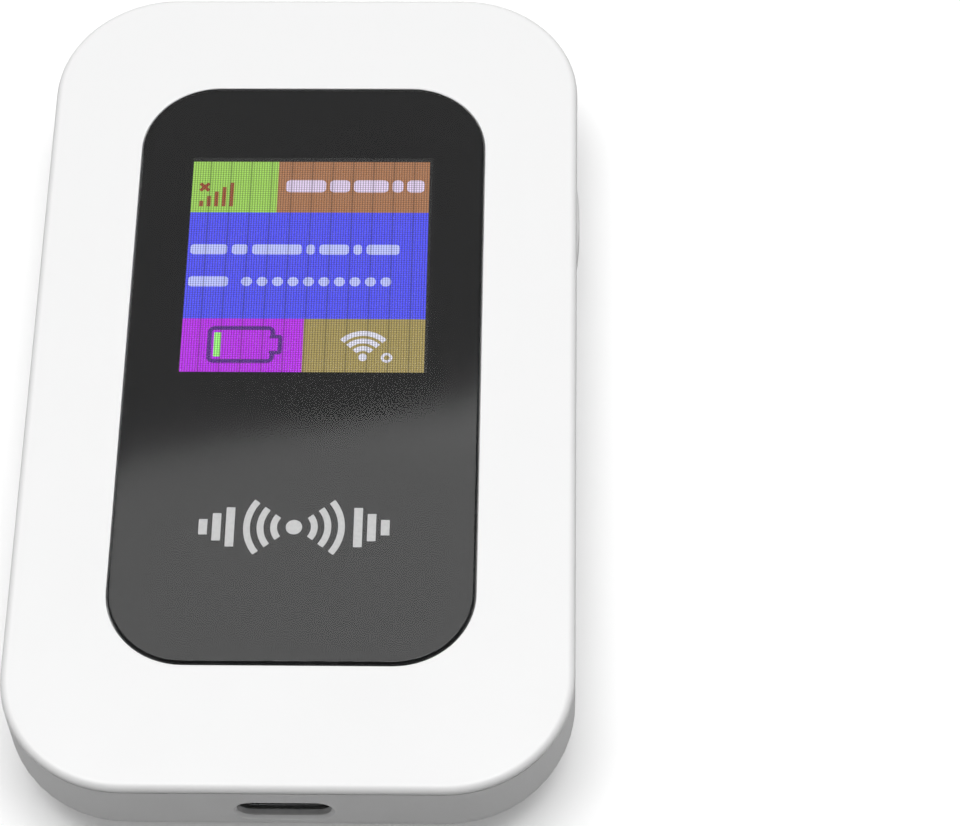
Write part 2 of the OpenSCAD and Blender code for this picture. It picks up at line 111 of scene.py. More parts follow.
def skin(loops: np.ndarray, ends: Ends = Ends.FANS) -> Surface:
    """Stretches a closed surface over a stack of loops.

    The surface is the grid S(i, j) = point j of loop i, closed in j. One quad a column joins row i to
    row i + 1.

    Args:
        loops: Places in millimetres, shaped (loops, points a loop, 3).
        ends: How the two end loops are closed.

    Returns:
        The closed surface, with its faces outwards.
    """
    rows, columns = loops.shape[:2]
    numbers = np.arange(rows * columns).reshape(rows, columns)
    below = numbers if ends is Ends.JOINED else numbers[:-1]
    above = np.roll(numbers, -1, axis=0) if ends is Ends.JOINED else numbers[1:]
    quads = np.stack([below, np.roll(below, -1, 1), np.roll(above, -1, 1), above], axis=-1).reshape(-1, 4)
    points = loops.reshape(-1, 3)
    triangles = np.empty((0, 3), dtype=int)
    if ends is Ends.FANS:
        middles = loops[[0, -1]].mean(axis=1)
        first, last = numbers[0], numbers[-1]
        start = np.stack([np.full(columns, len(points)), np.roll(first, -1), first], axis=-1)
        finish = np.stack([np.full(columns, len(points) + 1), last, np.roll(last, -1)], axis=-1)
        points = np.concatenate([points, middles])
        triangles = np.concatenate([start, finish])
    if ends is Ends.RUNGS:
        tip = PILL_TIP
        step = np.arange(tip + 1, tip + columns // 2 - 1)
        facing = 2 * tip - step
        rungs = np.stack([step, step + 1, (facing - 1) % columns, facing % columns], axis=-1)
        far = tip + columns // 2
        caps = np.array([[tip, tip + 1, tip - 1], [far - 1, far, (far + 1) % columns]])
        quads = np.concatenate([quads, numbers[-1][rungs], numbers[0][rungs[:, ::-1]]])
        triangles = np.concatenate([numbers[-1][caps], numbers[0][caps[:, ::-1]]])
    return Surface(points, quads, triangles).outward()


def rounded_loop(
    width: float, length: float, radius: float, z: float, centre_y: float = 0.0, centre_x: float = 0.0
) -> np.ndarray:
    """Works out one level loop round a rectangle with round corners.

    Each corner is the quarter circle c + r (cos t, sin t), with 16 steps, and each side has 24 equal steps.
    So every such loop has the same number of points, and loops of any size can share a skin.

    Args:
        width: Size along X.
        length: Size along Y.
        radius: Corner radius.
        z: Height of the loop.
        centre_y: Middle of the rectangle along Y.
        centre_x: Middle of the rectangle along X.

    Returns:
        Places in millimetres, anticlockwise from above.
    """
    turn = np.linspace(0, math.pi / 2, 17)
    signs = np.array([[1, 1], [-1, 1], [-1, -1], [1, -1]])
    middles = signs * np.array([width / 2 - radius, length / 2 - radius])
    angles = turn[None, :] + np.arange(4)[:, None] * math.pi / 2
    arcs = middles[:, None, :] + radius * np.stack([np.cos(angles), np.sin(angles)], axis=-1)
    nexts = np.roll(arcs[:, 0], -1, axis=0)
    share = (np.arange(1, 24) / 24)[None, :, None]
    sides = arcs[:, -1:, :] * (1 - share) + nexts[:, None, :] * share
    flat = np.concatenate([arcs, sides], axis=1).reshape(-1, 2) + np.array([centre_x, centre_y])
    return np.column_stack([flat, np.full(len(flat), z)])


def circle_loop(radius: float, z: float, centre: tuple[float, float], steps: int = 40) -> np.ndarray:
    """Returns a level circle c + r (cos t, sin t) of that many steps, in millimetres."""
    turn = np.arange(steps) * 2 * math.pi / steps
    x = centre[0] + radius * np.cos(turn)
    y = centre[1] + radius * np.sin(turn)
    return np.column_stack([x, y, np.full(steps, z)])


def pill_loop(length: float, height: float, x: np.ndarray | float, y: float, z: float) -> np.ndarray:
    """Works out a round-ended bar's outline, standing across X.

    Each end is the half circle (l/2 - h/2) + h/2 (cos t, sin t), with 14 steps, and each straight side has 12
    points. Point PILL_TIP is the tip, and point 2 PILL_TIP - i is the mirror image of point i.

    Args:
        length: Size along Y.
        height: Size along Z.
        x: Place along X, one number or one for each point.
        y: Middle along Y.
        z: Middle along Z.

    Returns:
        Places in millimetres, 54 of them.
    """
    turn = np.linspace(-math.pi / 2, math.pi / 2, 15)
    reach = length / 2 - height / 2
    end = np.column_stack([reach + height / 2 * np.cos(turn), height / 2 * np.sin(turn)])
    share = (np.arange(1, 13) / 13)[:, None]
    side = end[-1] * (1 - share) + np.array([-reach, height / 2]) * share
    half = np.concatenate([end, side])
    flat = np.concatenate([half, -half])
    return np.column_stack([np.broadcast_to(x, len(flat)), y + flat[:, 0], z + flat[:, 1]])


def ribbon(inner: np.ndarray, outer: np.ndarray, z0: float, z1: float, ends: Ends = Ends.FANS) -> Surface:
    """Makes a thin flat plate between two rails.

    Its section at step i is the rectangle inner(i), outer(i) between two heights, carried along the rails.

    Args:
        inner: One rail in plan, one row (x, y) a step.
        outer: The other rail, with as many steps.
        z0: Height of the underside.
        z1: Height of the top.
        ends: JOINED for a ring.

    Returns:
        The closed surface.
    """
    corners = [
        np.column_stack([rail, np.full(len(rail), z)])
        for rail, z in ((inner, z0), (outer, z0), (outer, z1), (inner, z1))
    ]
    return skin(np.stack(corners, axis=1), ends)


def bar_plate(
    x0: float, y0: float, x1: float, y1: float, z0: float, z1: float, radius: float = 0.0
) -> Surface:
    """Makes a thin plate of rectangular plan, with round ends along X where a radius is given.

    The lower and the upper rail follow y = middle -+ (h/2 - r + sqrt(r^2 - d^2)), with d the way into the
    end.

    Args:
        x0: Left edge.
        y0: Lower edge.
        x1: Right edge.
        y1: Upper edge.
        z0: Height of the underside.
        z1: Height of the top.
        radius: Corner radius, up to half the height.

    Returns:
        The closed surface.
    """
    turn = np.linspace(math.pi - 0.15, math.pi / 2, 8)
    left = np.column_stack([x0 + radius * (1 + np.cos(turn)), radius * (1 - np.sin(turn))])
    right = np.column_stack([x1 - radius * (1 + np.cos(turn[::-1])), radius * (1 - np.sin(turn[::-1]))])
    rail = np.concatenate([left, right]) if radius else np.array([[x0, 0.0], [x1, 0.0]])
    lower = np.column_stack([rail[:, 0], y0 + rail[:, 1]])
    upper = np.column_stack([rail[:, 0], y1 - rail[:, 1]])
    return ribbon(lower, upper, z0, z1)


def arc_plate(
    centre: tuple[float, float], radius: float, width: float, start: float, sweep: float, z0: float, z1: float
) -> Surface:
    """Makes a thin plate along an arc: the rails are circles of radius -+ half the width.

    Args:
        centre: Middle of the arc in plan.
        radius: Radius of the arc's centre line.
        width: Width of the plate.
        start: Angle where it starts, in degrees.
        sweep: Angle that it covers, in degrees; 360 makes a ring.
        z0: Height of the underside.
        z1: Height of the top.

    Returns:
        The closed surface.
    """
    ring = sweep >= 360
    turn = np.radians(np.linspace(start, start + sweep, 33)[: 32 if ring else 33])
    spokes = np.column_stack([np.cos(turn), np.sin(turn)])
    rails = [np.array(centre) + (radius + s * width / 2) * spokes for s in (-1, 1)]
    return ribbon(rails[0], rails[1], z0, z1, Ends.JOINED if ring else Ends.FANS)


def put_in_blender(name: str, surfaces: list[Surface], tinted: bool = False) -> bpy.types.Object:
    """Makes one smooth-shaded object of some closed surfaces.

    Args:
        name: Name of the piece.
        surfaces: The surfaces, in millimetres.
        tinted: Whether the finish reads each surface's colour, from the attribute "tint".

    Returns:
        The object, at the origin.
    """
    shifts = np.cumsum([0] + [len(s.points) for s in surfaces[:-1]])
    points = np.concatenate([s.points for s in surfaces]) * MM
    quads = np.concatenate([s.quads + shift for s, shift in zip(surfaces, shifts)])
    triangles = np.concatenate([s.triangles + shift for s, shift in zip(surfaces, shifts)])
    mesh = bpy.data.meshes.new(name)
    mesh.from_pydata(points.tolist(), [], quads.tolist() + triangles.tolist())
    if tinted:
        colours = np.concatenate([np.tile(s.tint, (len(s.points), 1)) for s in surfaces])
        attribute = mesh.color_attributes.new(name="tint", type="FLOAT_COLOR", domain="POINT")
        attribute.data.foreach_set("color", colours.astype(np.float32).ravel())
    made = bpy.data.objects.new(name, mesh)
    bpy.context.scene.collection.objects.link(made)
    shade(made)
    return made


def shade(made: bpy.types.Object) -> None:
    """Shades a piece smooth between its sharp edges, with normals that follow its larger faces.

    Args:
        made: The piece.
    """
    made.data.shade_smooth()
    made.data.set_sharp_from_angle(angle=SHARP_ANGLE)
    even = made.modifiers.new("even normals", "WEIGHTED_NORMAL")
    even.keep_sharp = True


def refined_copy(node_name: str, bevel: float = 0.0) -> bpy.types.Object:
    """Copies a CAD node as one joined, smooth-shaded mesh, with its edges broken where a bevel is given.

    Args:
        node_name: Name of the CAD node.
        bevel: Width of the broken edges in millimetres.

    Returns:
        The new piece, at the origin.
    """
    work = bmesh.new()
    work.from_mesh(frame["nodes"][node_name].data)
    bmesh.ops.remove_doubles(work, verts=work.verts, dist=2e-6)
    bmesh.ops.dissolve_limit(work, angle_limit=math.radians(0.3), verts=work.verts, edges=work.edges)
    name = node_name + "_finished"
    mesh = bpy.data.meshes.new(name)
    work.to_mesh(mesh)
    work.free()
    mesh.materials.clear()
    made = bpy.data.objects.new(name, mesh)
    bpy.context.scene.collection.objects.link(made)
    if bevel:
        edge = made.modifiers.new("broken edges", "BEVEL")
        edge.width = bevel * MM
        edge.segments = 2
        edge.limit_method = "ANGLE"
        edge.angle_limit = math.radians(40)
        edge.use_clamp_overlap = True
    shade(made)
    return made


# Finishes -----------------------------------------------------------------------------------------


def linear(colour: str) -> tuple[float, float, float, float]:
    """Turns an sRGB hex colour to linear light.

    Args:
        colour: Six hex digits after a hash sign.

    Returns:
        Red, green, blue and a full alpha.
    """
    parts = np.array([int(colour[i:i + 2], 16) / 255 for i in (1, 3, 5)])
    light = np.where(parts <= 0.04045, parts / 12.92, ((parts + 0.055) / 1.055) ** 2.4)
    return (float(light[0]), float(light[1]), float(light[2]), 1.0)


def per_metre(size_mm: float) -> float:
    """Returns the texture scale that gives features of that size, in millimetres, on Object coordinates."""
    return 1000 / size_mm


def wave_scale(pitch_mm: float) -> float:
    """Returns the scale of a wave texture whose bands lie that far apart, in millimetres."""
    return WAVE_PERIOD / (pitch_mm * MM)


@dataclass
class Graph:
    """The nodes of one material.

    Args:
        tree: Node tree of the material.
        shader: Its Principled shader.
        place: Object coordinates.
    """

    tree: bpy.types.NodeTree
    shader: bpy.types.Node = field(init=False)
    place: bpy.types.NodeSocket = field(init=False)

    def add(
        self, kind: str, values: dict | None = None, links: dict | None = None, **settings: object
    ) -> bpy.types.Node:
        """Adds a node with its settings and links.

        Args:
            kind: Blender's name for the kind of node.
            values: Input name or number, to the value that it is set to.
            links: Input name or number, to the output socket that feeds it.
            **settings: The node's own properties.

        Returns:
            The node.
        """
        made = self.tree.nodes.new(kind)
        for key, value in settings.items():
            setattr(made, key, value)
        for key, value in (values or {}).items():
            made.inputs[key].default_value = value
        for key, source in (links or {}).items():
            self.tree.links.new(source, made.inputs[key])
        return made

    def feed(self, name: str, source: bpy.types.NodeSocket) -> None:
        """Links a socket to the shader's input of that name."""
        self.tree.links.new(source, self.shader.inputs[name])


@dataclass(frozen=True)
class Finish:
    """What a surface is made of and how it was made.

    Args:
        name: Common name of the material and how its surface was made.
        colour: Main colour, sRGB hex.
        second: Colour that it varies towards, sRGB hex.
        roughness: Mean roughness.
        spread: How far the roughness varies.
        metallic: 1 for a metal.
        ior: Index of refraction.
        specular: Share of the usual reflection; 0 where the surface is bonded to what lies over it.
        grain: Size of the finest relief in millimetres.
        relief: Height of that relief in millimetres.
        patch: Size of the slow variation in millimetres.
    """

    name: str
    colour: str
    second: str
    roughness: float
    spread: float = 0.05
    metallic: float = 0.0
    ior: float = 1.5
    specular: float = 0.5
    grain: float = 0.3
    relief: float = 0.004
    patch: float = 9.0

    def material(self) -> bpy.types.Material:
        """Returns the finish as a material, made once."""
        known = bpy.data.materials.get(self.name)
        if known:
            return known
        made = bpy.data.materials.new(self.name)
        made.use_nodes = True
        made.node_tree.nodes.clear()
        graph = Graph(made.node_tree)
        graph.shader = graph.add(
            "ShaderNodeBsdfPrincipled",
            {"Base Color": linear(self.colour), "Metallic": self.metallic, "Roughness": self.roughness},
        )
        if not self.metallic:
            graph.shader.inputs["IOR"].default_value = self.ior
            graph.shader.inputs["Specular IOR Level"].default_value = self.specular
        graph.add("ShaderNodeOutputMaterial", links={"Surface": graph.shader.outputs["BSDF"]})
        graph.place = graph.add("ShaderNodeTexCoord").outputs["Object"]
        self.paint(graph)
        made.diffuse_color = linear(self.colour)
        return made

    def paint(self, graph: Graph) -> None:
        """Adds the slow variation of colour and roughness, and the fine relief.

        Args:
            graph: Nodes of the material.
        """
        slow = graph.add(
            "ShaderNodeTexNoise", {"Scale": per_metre(self.patch), "Detail": 3.0}, {"Vector": graph.place}
        )
        self.vary(graph, slow.outputs["Fac"])
        fine = graph.add(
            "ShaderNodeTexNoise", {"Scale": per_metre(self.grain), "Detail": 2.0}, {"Vector": graph.place}
        )
        self.raise_relief(graph, fine.outputs["Fac"])

    def vary(self, graph: Graph, amount: bpy.types.NodeSocket) -> None:
        """Lets the colour and the roughness follow an amount between 0 and 1.

        Args:
            graph: Nodes of the material.
            amount: The socket that they follow.
        """
        colours = {6: linear(self.colour), 7: linear(self.second)}
        colour = graph.add("ShaderNodeMix", colours, {0: amount}, data_type="RGBA")
        graph.feed("Base Color", colour.outputs[2])
        least, most = self.roughness - self.spread, self.roughness + self.spread
        limits = {"From Min": 0.3, "From Max": 0.7, "To Min": least, "To Max": most}
        rough = graph.add("ShaderNodeMapRange", limits, {"Value": amount})
        graph.feed("Roughness", rough.outputs["Result"])

    def raise_relief(self, graph: Graph, height: bpy.types.NodeSocket) -> None:
        """Turns a height between 0 and 1 into the surface's relief.

        Args:
            graph: Nodes of the material.
            height: The socket that gives the height.
        """
        depth = {"Strength": 0.6, "Distance": self.relief * MM}
        bump = graph.add("ShaderNodeBump", depth, {"Height": height})
        graph.feed("Normal", bump.outputs["Normal"])


@dataclass(frozen=True)
class ClearMoulding(Finish):
    """Clear sheet that light passes through, with a polished face."""

    def paint(self, graph: Graph) -> None:
        """Lets light through, and gives the polish its faint unevenness.

        Args:
            graph: Nodes of the material.
        """
        graph.shader.inputs["Transmission Weight"].default_value = 1.0
        slow = graph.add(
            "ShaderNodeTexNoise", {"Scale": per_metre(self.patch), "Detail": 1.0}, {"Vector": graph.place}
        )
        self.raise_relief(graph, slow.outputs["Fac"])


@dataclass(frozen=True)
class WorkedMetal(Finish):
    """Metal whose surface keeps the lines of the rolling or wiping that made it.

    Args:
        line: Width of one line in millimetres.
        stretch: How many times longer a line is than wide.
    """

    line: float = 0.12
    stretch: float = 24.0

    def paint(self, graph: Graph) -> None:
        """Draws noise out along Y into lines, over slow patches of tarnish.

        Args:
            graph: Nodes of the material.
        """
        slow = graph.add(
            "ShaderNodeTexNoise", {"Scale": per_metre(self.patch), "Detail": 4.0}, {"Vector": graph.place}
        )
        self.vary(graph, slow.outputs["Fac"])
        scale = {"Scale": (1.0, 1 / self.stretch, 1.0)}
        drawn = graph.add("ShaderNodeMapping", scale, {"Vector": graph.place})
        lines = graph.add(
            "ShaderNodeTexNoise",
            {"Scale": per_metre(self.line), "Detail": 2.0},
            {"Vector": drawn.outputs["Vector"]},
        )
        self.raise_relief(graph, lines.outputs["Fac"])


@dataclass(frozen=True)
class TrackedLaminate(Finish):
    """Sheet with copper tracks under a coloured film.

    Args:
        pitch: Distance between tracks in millimetres.
        bundle: Size of a patch in which the tracks keep one direction, in millimetres.
    """

    pitch: float = 0.8
    bundle: float = 7.0

    def paint(self, graph: Graph) -> None:
        """Picks tracks along X or along Y, patch by patch, and raises them a little.

        Args:
            graph: Nodes of the material.
        """
        scale, place = {"Scale": wave_scale(self.pitch)}, {"Vector": graph.place}
        across = graph.add("ShaderNodeTexWave", scale, place, bands_direction="X")
        along = graph.add("ShaderNodeTexWave", scale, place, bands_direction="Y")
        patches = graph.add(
            "ShaderNodeTexVoronoi", {"Scale": per_metre(self.bundle)}, place, distance="CHEBYCHEV"
        )
        pick = graph.add("ShaderNodeMath", {1: 0.5}, {0: patches.outputs["Color"]}, operation="GREATER_THAN")
        tracks = graph.add(
            "ShaderNodeMix", links={0: pick.outputs[0], 2: across.outputs["Fac"], 3: along.outputs["Fac"]}
        )
        edge = graph.add(
            "ShaderNodeMapRange", {"From Min": 0.55, "From Max": 0.7}, {"Value": tracks.outputs[0]}
        )
        self.vary(graph, edge.outputs["Result"])
        self.raise_relief(graph, edge.outputs["Result"])


@dataclass(frozen=True)
class CellularFoam(Finish):
    """Foam whose cut surface shows its cells."""

    def paint(self, graph: Graph) -> None:
        """Hollows the surface at each cell of a Voronoi pattern.

        Args:
            graph: Nodes of the material.
        """
        cells = graph.add("ShaderNodeTexVoronoi", {"Scale": per_metre(self.grain)}, {"Vector": graph.place})
        self.vary(graph, cells.outputs["Distance"])
        self.raise_relief(graph, cells.outputs["Distance"])


@dataclass(frozen=True)
class StudioSheet(Finish):
    """Seamless paper for the floor, which shows the camera more light than it throws back: the camera sees a
    painted glow, and the object gets painted shade from the darker light that the paper throws back.

    Args:
        shade_bounce: Colour that lights the object, darker than the paper: painted shade on the object, as if
            black flags stood round it.
        glow: Painted light that only the camera sees, added to what it shows under the object, which fills in
            the shadow there.
        far_glow: The same painted light, where the sheet rises behind.
    """

    shade_bounce: str = "#bcbcbc"
    glow: float = 0.20
    far_glow: float = 0.75

    def paint(self, graph: Graph) -> None:
        """Shows the paper white with a painted glow, and throws less light back, as painted shade on the
        object.

        Args:
            graph: Nodes of the material.
        """
        # painted light: the sheet glows for camera rays alone, more where it rises behind, and fills in its
        # own shadow
        seen = graph.add("ShaderNodeLightPath").outputs["Is Camera Ray"]
        away = graph.add("ShaderNodeVectorMath", links={0: graph.place}, operation="LENGTH")
        glow = graph.add(
            "ShaderNodeMapRange",
            {"From Min": 0.5, "From Max": 2.4, "To Min": self.glow, "To Max": self.far_glow},
            {"Value": away.outputs["Value"]},
        )
        shown = graph.add("ShaderNodeMath", links={0: seen, 1: glow.outputs["Result"]}, operation="MULTIPLY")
        graph.feed("Emission Color", shown.outputs[0])
        graph.shader.inputs["Emission Strength"].default_value = 1.0
        # painted shade: light thrown back onto the object takes the darker colour, which darkens the object's
        # sides
        colours = {6: linear(self.shade_bounce), 7: linear(self.colour)}
        mixed = graph.add("ShaderNodeMix", colours, {0: seen}, data_type="RGBA")
        graph.feed("Base Color", mixed.outputs[2])
        fibre = graph.add(
            "ShaderNodeTexNoise", {"Scale": per_metre(self.grain), "Detail": 2.0}, {"Vector": graph.place}
        )
        self.raise_relief(graph, fibre.outputs["Fac"])


@dataclass(frozen=True)
class LitPicture(Finish):
    """A lit colour display, whose picture elements leave dark lines between them.

    Args:
        pitch: Distance between picture elements in millimetres.
        dark: How dark the line between two columns is, and between two rows.
        beat: Distance between the broad bands that fine columns make, in millimetres, and how dark they are.
        strength: How bright the picture is.
    """

    pitch: float = 0.4
    dark: tuple[float, float] = (0.3, 0.1)
    beat: tuple[float, float] = (2.0, 0.1)
    strength: float = 1.0

    def paint(self, graph: Graph) -> None:
        """Lights each part of the picture in its own tint, dimmed between columns, rows and broad bands.

        Args:
            graph: Nodes of the material.
        """
        columns, rows = self.dark
        spacing, faint = self.beat
        tint = graph.add("ShaderNodeAttribute", attribute_name="tint", attribute_type="GEOMETRY")
        lit = tint.outputs["Color"]
        lines = (("X", self.pitch, columns, 0.45), ("Y", self.pitch, rows, 0.45), ("X", spacing, faint, 0.06))
        for direction, apart, dark, width in lines:
            wave = graph.add(
                "ShaderNodeTexWave",
                {"Scale": wave_scale(apart), "Distortion": 0.0},
                {"Vector": graph.place},
                bands_direction=direction,
            )
            limits = {"From Min": 0.0, "From Max": width, "To Min": 1.0 - dark, "To Max": 1.0}
            dim = graph.add("ShaderNodeMapRange", limits, {"Value": wave.outputs["Fac"]})
            sockets = {6: lit, 7: dim.outputs["Result"]}
            mixed = graph.add("ShaderNodeMix", {0: 1.0}, sockets, data_type="RGBA", blend_type="MULTIPLY")
            lit = mixed.outputs[2]
        graph.feed("Emission Color", lit)
        graph.shader.inputs["Emission Strength"].default_value = self.strength


# What each material slot of the record is made of
SLOT_FINISH: dict[str, Finish] = {
    # ABS/PC moulded against a spark-eroded tool: satin white, with a soft wide sheen and no visible grain
    # from a hand away
    "white_case": Finish("ABS_PC_moulded_satin_white", "#f6f6f6", "#f4f4f4", 0.40, 0.04, ior=1.54, grain=0.22,
                         relief=0.0018, patch=14.0),
    # Cast acrylic, polished: a hard clear reflection with a slightly hazy edge
    "panel_acrylic": ClearMoulding("acrylic_polished_clear", "#ffffff", "#ffffff", 0.065, ior=1.49,
                                   relief=0.0015, patch=30.0),
    # Screen-printed ink seen through the panel: deep even black
    "black_print": Finish("ink_screen_printed_black", "#1a1a1b", "#1c1c1d", 0.5, 0.03, specular=0.0,
                          grain=0.15, relief=0.001),
    # Metallic screen ink on the panel's face: pale silver with a fine sparkle of flakes
    "silver_print": Finish("ink_screen_printed_silver", "#d2d2d1", "#b9babb", 0.36, 0.08,
                           grain=0.12, relief=0.002, patch=0.3),
    # Closed-cell foam, die-cut: matt black with tiny cells
    "black_foam": CellularFoam("foam_closed_cell_black", "#1f1f21", "#0f0f10", 0.85, 0.05, grain=0.35,
                               relief=0.05),
    # Display glass over its polariser: smooth and nearly black when unlit
    "display_glass": Finish("glass_polarised_dark", "#0b0c0e", "#0d0f12", 0.12, 0.02, ior=1.52, grain=2.0,
                            relief=0.0005),
    # Polycarbonate moulded white and matt, to spread light
    "white_light_guide": Finish("polycarbonate_moulded_white", "#efefec", "#e6e6e2", 0.55, grain=0.3,
                                relief=0.003),
    # Polyimide film with copper tracks: clear amber over darker lines
    "amber_film": TrackedLaminate("polyimide_film_laminated", "#c98a35", "#8f5a1c", 0.3, 0.04, pitch=0.6,
                                  bundle=60.0, relief=0.01),
    # Moulded nylon, undyed: ivory, slightly cloudy
    "ivory_nylon": Finish("nylon_moulded_ivory", "#e4dcc6", "#d8cfb6", 0.5, grain=0.25, relief=0.004,
                          patch=2.0),
    # Fibreglass laminate under green solder mask: glossy, with tracks that show as lighter raised lines
    "green_board": TrackedLaminate("fibreglass_laminate_solder_masked", "#12472c", "#1f6b40", 0.32, 0.06,
                                   pitch=0.7, bundle=6.0, relief=0.02),
    # Steel strip, tin-plated and pressed: bright, with the rolling lines of the strip
    "tinned_steel": WorkedMetal("steel_tin_plated_pressed", "#c9cacb", "#b3b4b6", 0.3, 0.06, 1.0,
                                relief=0.004, patch=3.0),
    # Epoxy moulded round a chip: dull near-black with a fine sandy face
    "chip_epoxy": Finish("epoxy_moulded_black", "#232325", "#1b1b1d", 0.62, grain=0.1, relief=0.004,
                         patch=1.5),
    # Fired ceramic chips with tinned ends: tan and dull
    "ceramic_chip": Finish("ceramic_fired_tan", "#b7a283", "#8d8d8c", 0.5, 0.1, grain=0.1, relief=0.003,
                           patch=0.9),
    # Glass-filled nylon, moulded black: dull, with a faint grey bloom of fibre
    "black_nylon": Finish("nylon_glass_filled_moulded_black", "#19191b", "#252527", 0.55, 0.08, grain=0.18,
                          relief=0.006, patch=1.2),
    # Copper alloy spring strip, gold-plated: warm, bright and smooth
    "gold_contact": WorkedMetal("copper_alloy_gold_plated", "#e8c070", "#d3a64f", 0.24, 0.05, 1.0,
                                relief=0.002, patch=1.5),
    # Copper-clad film, lacquered: orange-brown metal, dulled by the lacquer
    "copper_film": WorkedMetal("copper_film_lacquered", "#c98757", "#a86a40", 0.38, 0.06, 1.0, relief=0.003,
                               patch=2.0),
    # Steel screws, zinc-plated: blue-grey with a milky passivated layer
    "zinc_steel": WorkedMetal("steel_zinc_plated", "#b4b8bf", "#9b9a94", 0.36, 0.08, 1.0, relief=0.004,
                              patch=0.8, stretch=6.0),
    # Coated label paper: white, matt, with faint fibres
    "white_paper": Finish("paper_coated_white", "#ecebe6", "#e3e1da", 0.7, grain=0.4, relief=0.006,
                          patch=3.0),
    # Drawn aluminium cell can: pale, with drawing lines
    "cell_foil": WorkedMetal("aluminium_drawn", "#c6c9cd", "#b5b8bc", 0.34, 0.06, 1.0, relief=0.005,
                             patch=4.0),
    # Shrink film over the cell: white and glossy, with shallow waves where it pulled tight
    "white_sleeve": Finish("film_heat_shrunk_white", "#efefec", "#e4e4e1", 0.28, 0.05, grain=5.0,
                           relief=0.006, patch=6.0),
}
# The display's own light, coloured by its filters. Its elements are 0.11 mm apart; they are drawn 0.28 mm
# apart, because the true pitch is too fine to show
DISPLAY_PICTURE = LitPicture("display_lit_colour", "#050505", "#050505", 0.5, specular=0.0, pitch=0.28,
                             dark=(0.62, 0.45), beat=(2.24, 0.3), strength=1.52)
# Seamless studio paper, with a painted glow that only the camera sees and painted shade in the light that it
# throws back
STUDIO_PAPER = StudioSheet("paper_seamless_white_painted_glow", "#f6f6f6", "#f6f6f6", 0.9, specular=0.0, grain=1.2,
                           relief=0.003)


def slot_of(node_name: str) -> str:
    """Returns the record's material slot of a CAD node."""
    rows = {row["node"]: row["material_slot"] for row in frame["record"]["subparts"]}
    return rows[node_name]


def body_of(node_name: str) -> str:
    """Returns the body that a CAD node belongs to."""
    bodies = frame["record"]["behaviour"]["bodies"]
    return next(body for body, nodes in bodies.items() if node_name in nodes)


def give_finish(made: bpy.types.Object, finish: Finish) -> None:
    """Puts a finish on every material slot of an object.

    Args:
        made: A new piece or a CAD node.
        finish: The finish.
    """
    if not made.material_slots:
        made.data.materials.append(finish.material())
    for place in made.material_slots:
        place.material = finish.material()


def stand_for(made: bpy.types.Object, node_name: str) -> None:
    """Lets a new piece stand for a CAD node, ride on its body and take its finish.

    Args:
        made: The new piece.
        node_name: The CAD node.
    """
    give_finish(made, SLOT_FINISH[slot_of(node_name)])
    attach(made, body_of(node_name))
    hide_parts(node_name)
    LOG.info("%s: %d faces, for %s", made.name, len(made.data.polygons), node_name)


# The case -----------------------------------------------------------------------------------------


@dataclass
class CasePlan:
    """The outline that all three shells of the case share.

    Args:
        width: Size along X.
        length: Size along Y.
        corner: Corner radius.
    """

    width: float = 58.0
    length: float = 98.0
    corner: float = 13.0

    def loop(self, inset: float, z: float) -> np.ndarray:
        """Returns the outline moved in from the side by the inset, at height z."""
        return rounded_loop(self.width - 2 * inset, self.length - 2 * inset, self.corner - inset, z)


class SubAssembly:
    """A group of pieces that is built and then dressed."""

    copies: dict[str, float] = {}
    kept: tuple[str, ...] = ()

    def build(self) -> None:
        """Makes the group's own meshes; a group without any makes none."""

    def dress(self) -> None:
        """Copies the CAD nodes that need smooth shading, and gives the others their finish."""
        for node_name, bevel in self.copies.items():
            stand_for(refined_copy(node_name, bevel), node_name)
        for node_name in self.kept:
            give_finish(frame["nodes"][node_name], SLOT_FINISH[slot_of(node_name)])
            LOG.info("%s: CAD shape with %s", node_name, SLOT_FINISH[slot_of(node_name)].name)


